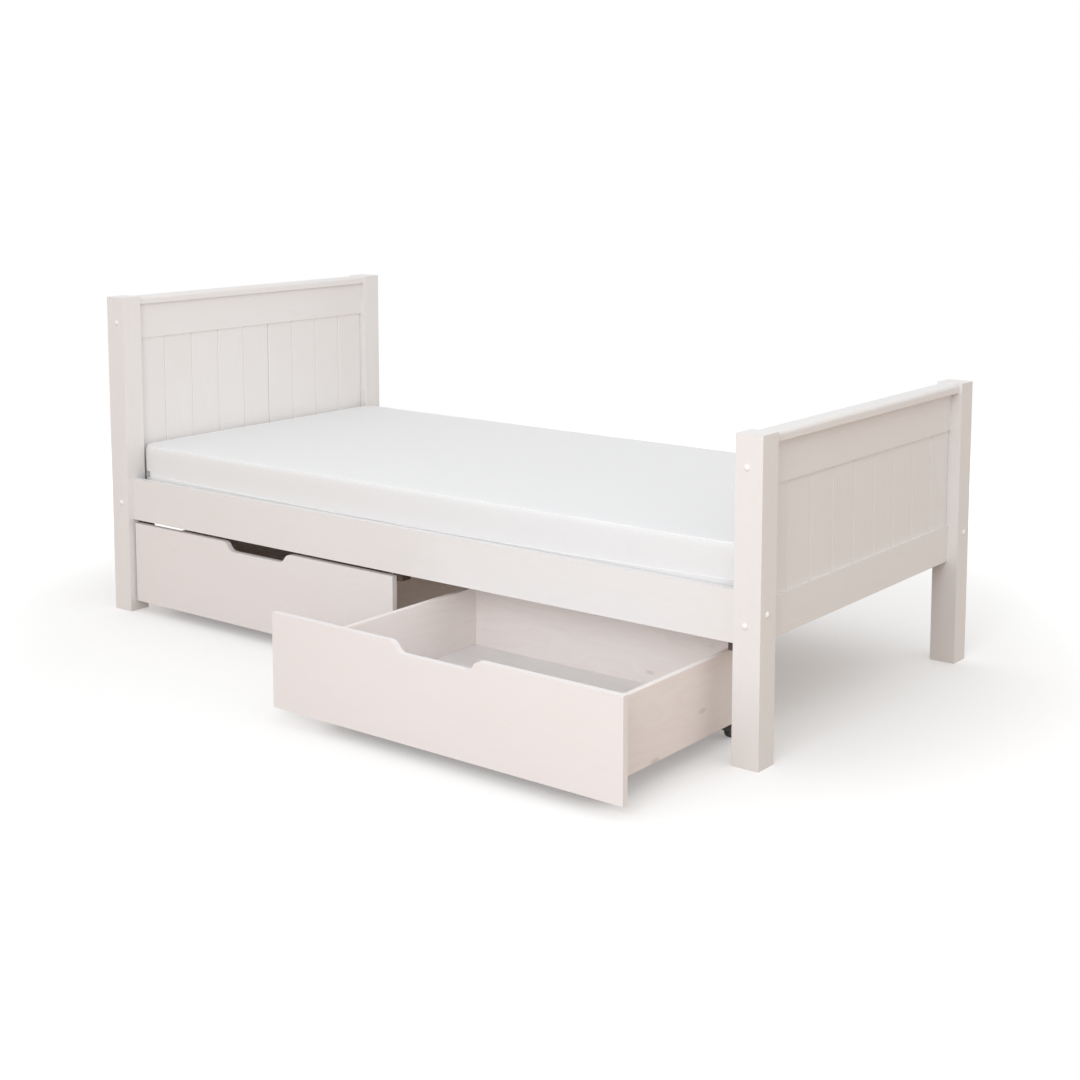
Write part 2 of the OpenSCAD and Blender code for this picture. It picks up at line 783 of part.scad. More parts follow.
place_drawer(LEFT) drawer_side(0);  // left_drawer_inner_side
place_drawer(LEFT) drawer_back();  // left_drawer_back
place_drawer(LEFT) drawer_base();  // left_drawer_base
place_drawer(LEFT) drawer_battens();  // left_drawer_battens
place_drawer(LEFT) drawer_dowels();  // left_drawer_dowels
place_drawer(LEFT) drawer_screws();  // left_drawer_screws
place_drawer(LEFT) castor_housings();  // left_castor_housings
place_drawer(LEFT) castor_axles();  // left_castor_axles
place_drawer(LEFT) castor_screws();  // left_castor_screws
wheel(LEFT, 0, 0);  // left_wheel_front_inner
wheel(LEFT, 1, 0);  // left_wheel_front_outer
wheel(LEFT, 0, 1);  // left_wheel_rear_inner
wheel(LEFT, 1, 1);  // left_wheel_rear_outer
place_drawer(RIGHT) drawer_front();  // right_drawer_front
place_drawer(RIGHT) drawer_side(1);  // right_drawer_outer_side
place_drawer(RIGHT) drawer_side(0);  // right_drawer_inner_side
place_drawer(RIGHT) drawer_back();  // right_drawer_back
place_drawer(RIGHT) drawer_base();  // right_drawer_base
place_drawer(RIGHT) drawer_battens();  // right_drawer_battens
place_drawer(RIGHT) drawer_dowels();  // right_drawer_dowels
place_drawer(RIGHT) drawer_screws();  // right_drawer_screws
place_drawer(RIGHT) castor_housings();  // right_castor_housings
place_drawer(RIGHT) castor_axles();  // right_castor_axles
place_drawer(RIGHT) castor_screws();  // right_castor_screws
wheel(RIGHT, 0, 0);  // right_wheel_front_inner
wheel(RIGHT, 1, 0);  // right_wheel_front_outer
wheel(RIGHT, 0, 1);  // right_wheel_rear_inner
wheel(RIGHT, 1, 1);  // right_wheel_rear_outer
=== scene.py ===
"""Looks of the single bed: painted and washed pine, a knitted mattress cover, and soft studio light."""
import math

import bpy
import numpy as np
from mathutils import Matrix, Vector, noise
from mathutils.bvhtree import BVHTree


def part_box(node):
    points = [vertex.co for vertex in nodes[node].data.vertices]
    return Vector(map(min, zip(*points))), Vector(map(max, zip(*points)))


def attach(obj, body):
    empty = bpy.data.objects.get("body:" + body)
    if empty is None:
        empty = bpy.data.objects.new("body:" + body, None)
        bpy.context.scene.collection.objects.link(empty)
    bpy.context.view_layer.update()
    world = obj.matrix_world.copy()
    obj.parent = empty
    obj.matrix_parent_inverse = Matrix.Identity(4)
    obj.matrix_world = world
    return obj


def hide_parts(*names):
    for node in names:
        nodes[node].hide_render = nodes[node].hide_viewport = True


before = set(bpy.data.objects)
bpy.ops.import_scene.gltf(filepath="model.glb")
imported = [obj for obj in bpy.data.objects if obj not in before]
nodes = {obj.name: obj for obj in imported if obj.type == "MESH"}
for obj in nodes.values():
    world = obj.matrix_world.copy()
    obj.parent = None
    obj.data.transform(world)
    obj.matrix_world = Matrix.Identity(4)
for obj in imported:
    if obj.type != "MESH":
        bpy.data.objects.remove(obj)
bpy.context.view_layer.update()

MM = 0.001


# ---- node-tree helpers --------------------------------------------------------

class Tree:
    """A material's node tree, with short calls for the nodes used here."""

    def __init__(self, name):
        self.material = bpy.data.materials.new(name)
        self.material.use_nodes = True
        self.tree = self.material.node_tree
        self.shader = self.tree.nodes["Principled BSDF"]

    def add(self, kind, inputs=None, **settings):
        node = self.tree.nodes.new(kind)
        for key, value in settings.items():
            setattr(node, key, value)
        for key, value in (inputs or {}).items():
            self.put(node.inputs[key], value)
        return node

    def put(self, socket, value):
        if isinstance(value, bpy.types.NodeSocket):
            self.tree.links.new(value, socket)
        else:
            socket.default_value = value

    def math(self, operation, a, b=0.0, clamp=False):
        node = self.add("ShaderNodeMath", operation=operation, use_clamp=clamp)
        self.put(node.inputs[0], a)
        self.put(node.inputs[1], b)
        return node.outputs[0]

    def span(self, value, low, high, to_low=0.0, to_high=1.0):
        """Maps low..high to to_low..to_high, smoothly and clamped."""
        node = self.add("ShaderNodeMapRange", interpolation_type="SMOOTHSTEP")
        for key, number in (("Value", value), ("From Min", low), ("From Max", high),
                            ("To Min", to_low), ("To Max", to_high)):
            self.put(node.inputs[key], number)
        return node.outputs["Result"]

    def mix(self, factor, a, b, blend="MIX"):
        node = self.add("ShaderNodeMix", data_type="RGBA", blend_type=blend)
        self.put(node.inputs["Factor"], factor)
        self.put(node.inputs[6], a)
        self.put(node.inputs[7], b)
        return node.outputs[2]

    def noise(self, vector, scale, detail=2.0, roughness=0.5, distortion=0.0):
        node = self.add("ShaderNodeTexNoise", {"Vector": vector, "Scale": scale, "Detail": detail,
                                               "Roughness": roughness, "Distortion": distortion})
        return node.outputs["Fac"]

    def stretch(self, vector, scale):
        """The vector scaled along each axis."""
        node = self.add("ShaderNodeMapping", {"Vector": vector, "Scale": scale})
        return node.outputs["Vector"]

    def place(self):
        """Position on the piece in metres, shifted by a random step for each separate solid."""
        where = self.add("ShaderNodeTexCoord").outputs["Object"]
        island = self.add("ShaderNodeNewGeometry").outputs["Random Per Island"]
        step = self.add("ShaderNodeVectorMath", {0: (7.3, 11.9, 5.7)}, operation="SCALE")
        self.put(step.inputs["Scale"], island)
        total = self.add("ShaderNodeVectorMath", {0: where, 1: step.outputs[0]}, operation="ADD")
        return total.outputs[0]

    def bump(self, height, distance, strength=1.0, under=None):
        node = self.add("ShaderNodeBump", {"Height": height, "Distance": distance, "Strength": strength})
        if under is not None:
            self.put(node.inputs["Normal"], under)
        return node.outputs["Normal"]

    def finish(self, color, roughness, normal=None, **constants):
        self.put(self.shader.inputs["Base Color"], color)
        self.put(self.shader.inputs["Roughness"], roughness)
        if normal is not None:
            self.put(self.shader.inputs["Normal"], normal)
        for key, value in constants.items():
            self.shader.inputs[key.replace("_", " ")].default_value = value
        return self.material


def scaled(color, *factors):
    """A colour with each of its channels multiplied by its own factor."""
    return tuple(c * f for c, f in zip(color, factors)) + (1,)


def along(axis, lengthwise, across):
    """A stretch that is small along the grain's axis and large across it."""
    return tuple(lengthwise if a == axis else across for a in "XYZ")


# ---- wood ---------------------------------------------------------------------

def wood_figure(t, axis):
    """Position, and the rings, pores and knots of planed pine along an axis, each 0 to 1."""
    where = t.place()
    cells = t.add("ShaderNodeTexVoronoi", {"Vector": t.stretch(where, along(axis, 5.0, 12.0)), "Scale": 1.0})
    near = cells.outputs["Distance"]
    chance = t.add("ShaderNodeSeparateColor", {0: cells.outputs["Color"]}).outputs[0]
    chosen = t.math("GREATER_THAN", chance, 0.35)
    knots = t.math("MULTIPLY", t.span(near, 0.11, 0.04), chosen)
    swirl = t.math("MULTIPLY", t.span(near, 0.42, 0.05, 0.0, 1.1), chosen)
    bend = t.noise(t.stretch(where, along(axis, 1.2, 9.0)), 1.0, 3.0, 0.5)
    flow = t.math("ADD", t.math("MULTIPLY", bend, 13.0), swirl)
    rings = t.math("FRACT", flow)
    rings = t.math("MULTIPLY", rings, rings)
    pores = t.noise(t.stretch(where, along(axis, 14.0, 900.0)), 1.0, 3.0, 0.65)
    return where, rings, pores, knots


def painted_wood(name, color, axis, edge=False):
    """Satin paint on planed pine: faint rings and brush marks in relief; with edge, its rounded edges get a
    painted highlight and paint worn thin on them.
    """
    t = Tree(name)
    where, rings, pores, knots = wood_figure(t, axis)
    cloud = t.noise(where, 3.0, 3.0, 0.55)
    brush = t.noise(t.stretch(where, along(axis, 3.0, 260.0)), 1.0, 2.0, 0.6)
    shade = t.mix(t.span(cloud, 0.3, 0.75), color, scaled(color, 0.985, 0.975, 0.965))
    shade = t.mix(t.math("MULTIPLY", rings, 0.30), shade, scaled(color, 0.97, 0.955, 0.93))
    shade = t.mix(t.math("MULTIPLY", knots, 0.30), shade, scaled(color, 0.96, 0.93, 0.86))
    shade = t.mix(t.math("MULTIPLY", brush, 0.30), shade, scaled(color, 0.965, 0.965, 0.965))
    if edge:
        chips = t.noise(t.stretch(where, along(axis, 9.0, 60.0)), 1.0, 3.0, 0.55)
        # painted highlight: the rounded edges are made lighter than the faces
        shade = t.mix(0.5, shade, scaled(color, 1.06, 1.06, 1.06))
        shade = t.mix(t.math("MULTIPLY", t.span(chips, 0.62, 0.80), 0.35), shade, WORN_EDGE)
    rough = t.math("ADD", t.math("MULTIPLY", cloud, 0.16), t.math("MULTIPLY", brush, 0.08))
    rough = t.math("ADD", rough, 0.30)
    normal = t.bump(rings, 0.06 * MM)
    normal = t.bump(pores, 0.05 * MM, under=normal)
    normal = t.bump(brush, 0.05 * MM, under=normal)
    normal = t.bump(t.noise(where, 420.0, 2.0, 0.5), 0.025 * MM, under=normal)
    return t.finish(shade, rough, normal, IOR=1.48)


def pine(name, axis, pale, dark, wash, knot):
    """Bare or thinly washed pine, with rings, pores and knots in its colour."""
    t = Tree(name)
    where, rings, pores, knots = wood_figure(t, axis)
    cloud = t.noise(where, 4.0, 3.0, 0.5)
    shade = t.mix(rings, pale, dark)
    open_pores = t.math("MULTIPLY", t.span(pores, 0.45, 0.8), 0.35)
    shade = t.mix(open_pores, shade, scaled(dark, 0.7, 0.7, 0.7))
    halo = t.mix(t.span(knots, 0.0, 0.8), shade, knot)
    cover = t.math("MULTIPLY", t.span(cloud, 0.2, 0.9, 0.85, 1.0), wash[3])
    cover = t.math("SUBTRACT", cover, t.math("MULTIPLY", knots, 0.14 * wash[3]), clamp=True)
    shade = t.mix(cover, halo, wash[:3] + (1,))
    rough = t.math("MULTIPLY", pores, 0.2)
    rough = t.math("ADD", rough, 0.45)
    normal = t.bump(rings, 0.10 * MM)
    normal = t.bump(pores, 0.10 * MM, under=normal)
    return t.finish(shade, rough, normal, IOR=1.46)


def foil_board(name, color):
    """Thin board with a smooth printed foil and its faint emboss."""
    t = Tree(name)
    where = t.place()
    cloud = t.noise(where, 5.0, 2.0, 0.5)
    fine = t.noise(t.stretch(where, (40.0, 900.0, 900.0)), 1.0, 2.0, 0.6)
    shade = t.mix(t.math("MULTIPLY", cloud, 0.5), color, scaled(color, 0.95, 0.95, 0.95))
    shade = t.mix(t.math("MULTIPLY", fine, 0.12), shade, scaled(color, 0.86, 0.86, 0.86))
    rough = t.math("ADD", t.math("MULTIPLY", cloud, 0.12), 0.34)
    return t.finish(shade, rough, t.bump(fine, 0.03 * MM), IOR=1.5)


def plated_steel(name):
    """Zinc-plated steel: a dull metal with patches and a fine turned grain."""
    t = Tree(name)
    where = t.place()
    patch = t.noise(where, 90.0, 3.0, 0.6)
    spin = t.noise(t.stretch(where, (700.0, 700.0, 700.0)), 1.0, 2.0, 0.5)
    shade = t.mix(t.span(patch, 0.35, 0.75), (0.62, 0.62, 0.60, 1), (0.48, 0.48, 0.50, 1))
    rough = t.math("ADD", t.math("MULTIPLY", patch, 0.25), 0.22)
    return t.finish(shade, rough, t.bump(spin, 0.01 * MM), Metallic=1.0)


def moulded_plastic(name, color):
    """Grained plastic with dust on it, and paler on its sharp edges."""
    t = Tree(name)
    where = t.place()
    grain = t.noise(where, 1400.0, 2.0, 0.6)
    dust = t.noise(where, 60.0, 4.0, 0.6)
    point = t.add("ShaderNodeNewGeometry").outputs["Pointiness"]
    dusty = t.math("MULTIPLY", t.span(dust, 0.4, 0.8), 0.35)
    # paler where the surface is sharply convex, on its edges
    sharp_edge_pale = t.math("MULTIPLY", t.span(point, 0.55, 0.68), 0.5)
    shade = t.mix(dusty, color, scaled(color, 2.2, 2.2, 2.2))
    shade = t.mix(sharp_edge_pale, shade, scaled(color, 2.8, 2.8, 2.8))
    rough = t.math("ADD", t.math("MULTIPLY", dust, 0.2), 0.42)
    return t.finish(shade, rough, t.bump(grain, 0.03 * MM), IOR=1.5)


def woven_tape(name):
    """Plain-woven cotton strap."""
    t = Tree(name)
    where = t.add("ShaderNodeTexCoord").outputs["Object"]
    warp = t.add("ShaderNodeTexWave", {"Vector": where, "Scale": 160.0}, bands_direction="Y").outputs["Fac"]
    weft = t.add("ShaderNodeTexWave", {"Vector": where, "Scale": 220.0}, bands_direction="X").outputs["Fac"]
    weave = t.math("MAXIMUM", warp, weft)
    shade = t.mix(weave, (0.62, 0.60, 0.54, 1), (0.86, 0.84, 0.78, 1))
    return t.finish(shade, 0.9, t.bump(weave, 0.2 * MM), Sheen_Weight=0.2)


def knitted_cover(name, color):
    """Soft white double knit: fine wales with small stitches, a faint heather and sheen."""
    t = Tree(name)
    where = t.add("ShaderNodeTexCoord").outputs["Object"]
    soft = t.noise(where, 14.0, 3.0, 0.55)
    fuzz = t.noise(where, 2600.0, 2.0, 0.6)
    wobble = t.math("MULTIPLY", t.noise(where, 30.0, 2.0), 0.01)
    shifted = t.add("ShaderNodeVectorMath", {0: where, 1: wobble}, operation="ADD").outputs[0]
    wales = t.add("ShaderNodeTexWave", {"Vector": shifted, "Scale": 190.0}, bands_direction="Y").outputs["Fac"]
    rows = t.add("ShaderNodeTexWave", {"Vector": shifted, "Scale": 130.0}, bands_direction="X").outputs["Fac"]
    rise = t.add("ShaderNodeTexWave", {"Vector": shifted, "Scale": 190.0}, bands_direction="Z").outputs["Fac"]
    knit = t.math("MULTIPLY", t.math("ADD", wales, rise), t.math("ADD", t.math("MULTIPLY", rows, 0.5), 0.5))
    shade = t.mix(t.span(soft, 0.3, 0.7), color, scaled(color, 0.975, 0.975, 0.975))
    raised = t.math("MULTIPLY", t.span(knit, 0.3, 1.2), 0.10)
    shade = t.mix(raised, scaled(color, 0.94, 0.94, 0.94), shade)
    normal = t.bump(knit, 0.10 * MM)
    normal = t.bump(fuzz, 0.05 * MM, under=normal)
    return t.finish(shade, 0.88, normal, Sheen_Weight=0.25, Sheen_Roughness=0.5, Specular_IOR_Level=0.25)


def smooth_plastic(name, color):
    """Glossy moulded caps with fine wear."""
    t = Tree(name)
    where = t.place()
    fine = t.noise(where, 700.0, 3.0, 0.6)
    shade = t.mix(t.span(fine, 0.45, 0.8), color, scaled(color, 0.95, 0.95, 0.94))
    rough = t.math("ADD", t.math("MULTIPLY", fine, 0.15), 0.18)
    return t.finish(shade, rough, t.bump(fine, 0.01 * MM), IOR=1.5)


def twill_piping(name, color):
    """Cord covered with a bias tape: fine diagonal ribs."""
    t = Tree(name)
    where = t.add("ShaderNodeTexCoord").outputs["Object"]
    ribs = t.add("ShaderNodeTexWave", {"Vector": where, "Scale": 260.0, "Distortion": 1.0},
                 bands_direction="DIAGONAL").outputs["Fac"]
    shade = t.mix(t.math("MULTIPLY", ribs, 0.4), color, scaled(color, 0.94, 0.94, 0.94))
    return t.finish(shade, 0.8, t.bump(ribs, 0.08 * MM), Sheen_Weight=0.3)


def label_fabric(name, color):
    """Fine ribbed ribbon, with nothing on it."""
    t = Tree(name)
    where = t.add("ShaderNodeTexCoord").outputs["Object"]
    weave = t.add("ShaderNodeTexWave", {"Vector": where, "Scale": 600.0}, bands_direction="Z").outputs["Fac"]
    shade = t.mix(weave, color, scaled(color, 1.3, 1.3, 1.3))
    return t.finish(shade, 0.8, t.bump(weave, 0.05 * MM), Sheen_Weight=0.2)


def studio_floor(name):
    """White to look at, and a warm wooden brown in the light that it throws back."""
    t = Tree(name)
    where = t.add("ShaderNodeTexCoord").outputs["Object"]
    distance = t.add("ShaderNodeVectorMath", {0: where}, operation="LENGTH").outputs["Value"]
    far = t.span(distance, 1.6, 3.6)
    # painted light: the floor glows a quarter white even beside the bed, which lightens the shadows cast on it
    glow = t.span(distance, 1.1, 2.8, 0.25, 1.0)
    t.finish(t.mix(far, (0.75, 0.75, 0.75, 1), (0, 0, 0, 1)), 0.9, Specular_IOR_Level=0.0)
    t.put(t.shader.inputs["Emission Color"], (1, 1, 1, 1))
    t.put(t.shader.inputs["Emission Strength"], glow)
    brown = t.add("ShaderNodeBsdfDiffuse", {"Color": FLOOR_BOUNCE})
    seen = t.add("ShaderNodeLightPath").outputs["Is Camera Ray"]
    either = t.add("ShaderNodeMixShader", {0: seen, 1: brown.outputs[0], 2: t.shader.outputs[0]})
    t.put(t.tree.nodes["Material Output"].inputs["Surface"], either.outputs[0])
    return t.material


FLOOR_BOUNCE = (0.52, 0.42, 0.35, 1)     # the wooden floor that the photographed bed stood on
PAINT = (0.845, 0.828, 0.826, 1)
FRONT_PAINT = (0.85, 0.820, 0.825, 1)
WASH = (0.895, 0.852, 0.85, 0.95)
NO_WASH = (0.83, 0.785, 0.775, 0.0)
WORN_EDGE = (0.74, 0.64, 0.52, 1)        # the wood that shows where an edge's paint is thin
PALE_PINE = (0.76, 0.60, 0.42, 1)
DARK_PINE = (0.62, 0.42, 0.25, 1)
KNOT = (0.25, 0.14, 0.09, 1)

paint = {a: painted_wood("white_paint_" + a, PAINT, a) for a in "XYZ"}
# the edge materials: a painted highlight on the rounded edges, and paint worn thin there
paint_edge_highlight_and_wear = {a: painted_wood("white_paint_edge_" + a, PAINT, a, edge=True) for a in "XYZ"}
front_paint = painted_wood("drawer_paint", FRONT_PAINT, "X")
front_edge_highlight_and_wear = painted_wood("drawer_paint_edge", FRONT_PAINT, "X", edge=True)
washed = {a: pine("washed_pine_" + a, a, PALE_PINE, DARK_PINE, WASH, KNOT) for a in "XY"}
bare = {a: pine("bare_pine_" + a, a, PALE_PINE, DARK_PINE, NO_WASH, KNOT) for a in "XYZ"}
foil = foil_board("pale_foil", (0.87, 0.87, 0.88, 1))
steel = plated_steel("plated_steel")
plastic = moulded_plastic("dark_plastic", (0.13, 0.135, 0.14, 1))
# painted shade: the drawer stop blocks are coloured dark brown so that they read as the shade of the bay under
# the side rail
painted_shade_brown_plastic = moulded_plastic("painted_shade_brown_plastic", (0.085, 0.058, 0.045, 1))
cap_plastic = smooth_plastic("white_plastic", (0.90, 0.90, 0.89, 1))
tape = woven_tape("woven_tape")
cover = knitted_cover("knitted_cover", (0.86, 0.865, 0.875, 1))
piping_tape = twill_piping("piping_tape", (0.89, 0.89, 0.895, 1))
label_cloth = label_fabric("label_cloth", (0.30, 0.31, 0.33, 1))
floor_white = studio_floor("studio_floor")

# node: (material, material of its rounded edges, edge radius in millimetres)
FINISHES = {
    "post": (paint["Z"], paint_edge_highlight_and_wear["Z"], 3.0),
    "cap_rail": (paint["Y"], None, 0.5),
    "top_rail": (paint["Y"], paint_edge_highlight_and_wear["Y"], 1.5),
    "boards": (paint["Z"], None, 0.0),
    "bottom_rail": (paint["Y"], paint_edge_highlight_and_wear["Y"], 2.0),
    "side_rail": (paint["X"], paint_edge_highlight_and_wear["X"], 2.5),
    "slat_ledger": (washed["X"], None, 1.5),
    "slats": (bare["Y"], None, 2.0),
    "slat_tapes": (tape, None, 0.0),
    # dark brown as painted shade of the bay under the side rail
    "drawer_stop_blocks": (painted_shade_brown_plastic, None, 1.0),
    "frame_bolts": (steel, None, 0.0),
    "barrel_nuts": (steel, None, 0.3),
    "frame_dowels": (bare["X"], None, 0.5),
    "bolt_caps": (cap_plastic, None, 0.3),
    "ledger_screws": (steel, None, 0.0),
    "mattress": (cover, None, 0.0),
    "drawer_front": (front_paint, front_edge_highlight_and_wear, 2.0),
    "outer_side": (washed["Y"], None, 1.5),
    "inner_side": (washed["Y"], None, 1.5),
    "drawer_back": (washed["X"], None, 1.5),
    "drawer_base": (foil, None, 0.3),
    "drawer_battens": (washed["Y"], None, 1.0),
    "drawer_dowels": (bare["Y"], None, 0.5),
    "screws": (steel, None, 0.0),
    "castor_housings": (plastic, None, 0.5),
    "castor_axles": (steel, None, 0.2),
    "wheel": (plastic, None, 0.3),
}


def finish_of(name):
    """The longest key of FINISHES that the node's name contains."""
    return FINISHES[max((k for k in FINISHES if k in name), key=len)]


def round_edges(node, radius, edge_slot):
    """Joins the imported faces and rounds their sharp edges, with modifiers only."""
    weld = node.modifiers.new("join", "WELD")
    weld.merge_threshold = 0.02 * MM
    flat = node.modifiers.new("flat", "DECIMATE")
    flat.decimate_type = "DISSOLVE"
    flat.angle_limit = math.radians(0.5)
    bevel = node.modifiers.new("round", "BEVEL")
    bevel.width = radius * MM
    bevel.segments = 3
    bevel.limit_method = "ANGLE"
    bevel.angle_limit = math.radians(35)
    bevel.material = edge_slot


def finish_nodes():
    for name, node in nodes.items():
        face, edge, radius = finish_of(name)
        node.data.materials.clear()
        node.data.materials.append(face)
        if edge:
            node.data.materials.append(edge)
        if radius:
            round_edges(node, radius, 1 if edge else 0)


finish_nodes()


# ---- mattress -------------------------------------------------------------------

INSET = 4 * MM           # how far the cover lies inside the CAD solid's faces before it swells
CORNER = 52 * MM         # radius of the mattress's corners, seen from above
EDGE = 10 * MM           # radius between its top and its border
SWELL = 4 * MM           # the most that the cover swells
VOXEL = 9 * MM
UPPER_PIPING = 2.4 * MM  # radius of the piping round the top
LOWER_PIPING = 1.1 * MM  # radius of the fine seam just above the side rails
SEAM_RISE = 11 * MM      # how much higher that seam is at the corners
SEAM_DROP = 0.29 * EDGE  # how far the upper seam lies below the top: half-way round the edge
HELD = 10 * MM           # how far from the upper seam the cover is held while it swells
BOTTOM_BAND = 8 * MM     # the part of the cover that rests on the slats, held while it swells
FRAMES = 20              # length of the cloth simulation


def rounded_outline(half_x, half_y, radius, spacing):
    """Points along a rectangle with round corners, counter-clockwise from the middle of its -Y side."""
    corners = [(half_x - radius, radius - half_y, -90), (half_x - radius, half_y - radius, 0),
               (radius - half_x, half_y - radius, 90), (radius - half_x, radius - half_y, 180)]
    keys = [(0.0, -half_y)]
    for cx, cy, start in corners:
        for step in range(13):
            a = math.radians(start + step * 7.5)
            keys.append((cx + radius * math.cos(a), cy + radius * math.sin(a)))
    keys.append(keys[0])
    keys = np.array(keys)
    run = np.concatenate([[0], np.cumsum(np.linalg.norm(np.diff(keys, axis=0), axis=1))])
    at = np.linspace(0, run[-1], int(run[-1] / spacing), endpoint=False)
    return np.stack([np.interp(at, run, keys[:, k]) for k in (0, 1)], axis=1)


def new_object(name, vertices, faces, material):
    mesh = bpy.data.meshes.new(name)
    mesh.from_pydata([tuple(v) for v in vertices], [], faces)
    mesh.materials.append(material)
    mesh.polygons.foreach_set("use_smooth", [True] * len(mesh.polygons))
    piece = bpy.data.objects.new(name, mesh)
    bpy.context.scene.collection.objects.link(piece)
    return piece


def lofted_rings(rings):
    """Vertices and faces of a closed form through rings of equally many points, with flat ends."""
    count = len(rings[0])
    faces = [tuple(reversed(range(count)))]
    for level in range(len(rings) - 1):
        base = level * count
        for i in range(count):
            j = (i + 1) % count
            faces.append((base + i, base + j, base + count + j, base + count + i))
    faces.append(tuple(range((len(rings) - 1) * count, len(rings) * count)))
    return np.concatenate(rings), faces


def mattress_form(center, half, low_z, high_z):
    """The unswollen mattress: rounded corners and edges between the heights low_z and high_z."""
    rings = []
    for bottom in (True, False):
        angles = np.radians(np.linspace(90, 0, 7) if bottom else np.linspace(0, 90, 7))
        for a in angles:
            inset = EDGE * (1 - math.cos(a))
            outline = rounded_outline(half.x - inset, half.y - inset, CORNER - inset, 20 * MM)
            drop = EDGE * (1 - math.sin(a))
            z = low_z + drop if bottom else high_z - drop
            rings.append(np.column_stack([outline + center[:2], np.full(len(outline), z)]))
    shortest = min(len(r) for r in rings)
    rings = [r[np.linspace(0, len(r) - 1, shortest).round().astype(int)] for r in rings]
    return lofted_rings(rings)


def coordinates(mesh):
    flat = np.empty(len(mesh.vertices) * 3)
    mesh.vertices.foreach_get("co", flat)
    return flat.reshape(-1, 3)


def evaluated_mesh(piece):
    graph = bpy.context.evaluated_depsgraph_get()
    return bpy.data.meshes.new_from_object(piece.evaluated_get(graph))


def lower_seam(x, half):
    """Height of the fine seam above the side rails: it sags between the corners."""
    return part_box("side_rail_front")[1].z + 1 * MM + SEAM_RISE * (x / half.x) ** 2


def seam_distance(points, center, half, upper_z):
    """Distance of each point from the upper seam, which runs round the rounded outline."""
    q = np.abs(points[:, :2] - center[:2]) - (np.array(half[:2]) - CORNER)
    outside = np.linalg.norm(np.maximum(q, 0), axis=1) + np.minimum(q.max(axis=1), 0) - CORNER
    return np.hypot(outside + SEAM_DROP, points[:, 2] - upper_z)


def swell(piece, pins):
    """Blows the cover up between its held points with a short cloth simulation, and keeps the result."""
    start = coordinates(piece.data)
    group = piece.vertex_groups.new(name="held")
    for i in np.nonzero(pins > 0.02)[0]:
        group.add([int(i)], float(pins[i]), "REPLACE")
    cloth = piece.modifiers.new("cloth", "CLOTH")
    cloth.settings.quality = 5
    cloth.settings.mass = 0.4
    cloth.settings.vertex_group_mass = "held"
    cloth.settings.use_pressure = True
    cloth.settings.uniform_pressure_force = 4.0
    cloth.settings.effector_weights.gravity = 0.0
    cloth.point_cache.frame_start, cloth.point_cache.frame_end = 1, FRAMES
    for step in range(1, FRAMES + 1):
        bpy.context.scene.frame_set(step)
    swollen = coordinates(evaluated_mesh(piece))
    piece.modifiers.remove(cloth)
    bpy.context.scene.frame_set(1)
    move = swollen - start
    length = np.linalg.norm(move, axis=1)
    cap = SWELL * np.tanh(length / SWELL) / np.maximum(length, 1e-9)
    piece.data.vertices.foreach_set("co", (start + move * cap[:, None]).ravel())
    piece.data.update()


def settle(piece, center, half, low_z, upper_z):
    """Gives the swollen cover slow hollows, mostly on its top, and draws it in along the upper seam."""
    points = coordinates(piece.data)
    wave = np.array([noise.noise(Vector(p) * 5.5) + 0.4 * noise.noise(Vector(p) * 17.0) for p in points])
    dent = np.exp(-(seam_distance(points, center, half, upper_z) / (7 * MM)) ** 2)
    normals = np.array([tuple(v.normal) for v in piece.data.vertices])
    top = points[:, 2] > upper_z
    lift = np.where(points[:, 2] > low_z + 12 * MM, 0.7 * MM * wave, 0) - 0.5 * MM * dent
    lift = np.where(top, 2 * lift, lift)
    piece.data.vertices.foreach_set("co", (points + normals * lift[:, None]).ravel())
    piece.data.polygons.foreach_set("use_smooth", [True] * len(piece.data.polygons))
    piece.data.update()


def make_mattress():
    """The swollen cover with its piping, fine seam and tab."""
    low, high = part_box("mattress")
    center = np.array((low + high) / 2)
    half = Vector(((high.x - low.x) / 2 - INSET, (high.y - low.y) / 2 - INSET, 0))
    low_z, high_z = low.z + 0.5 * MM, high.z - INSET
    piece = new_object("mattress_cover", *mattress_form(center, half, low_z, high_z), cover)
    remesh = piece.modifiers.new("even", "REMESH")
    remesh.mode = "VOXEL"
    remesh.voxel_size = VOXEL
    even = evaluated_mesh(piece)
    piece.modifiers.remove(remesh)
    even.materials.clear()
    even.materials.append(cover)
    piece.data = even
    upper_z = high_z - SEAM_DROP
    points = coordinates(even)
    pins = np.clip(1.3 - seam_distance(points, center, half, upper_z) / HELD, 0, 1)
    pins[points[:, 2] < low_z + BOTTOM_BAND] = 1.0
    swell(piece, pins)
    settle(piece, center, half, low_z, upper_z)
    finer = piece.modifiers.new("finer", "SUBSURF")
    finer.levels = finer.render_levels = 1
    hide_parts("mattress")
    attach(piece, "mattress")
    skin = BVHTree.FromObject(piece, bpy.context.evaluated_depsgraph_get())
    make_piping("mattress_piping_upper", skin, center, half, lambda x: upper_z, UPPER_PIPING)
    make_piping("mattress_piping_lower", skin, center, half, lambda x: lower_seam(x, half), LOWER_PIPING)
    make_tab(skin, center, half)


def on_skin(skin, outside, inward):
    """The point of the cover that a line from outside meets."""
    return skin.ray_cast(outside, inward)[0] or outside + inward * (20 * MM)


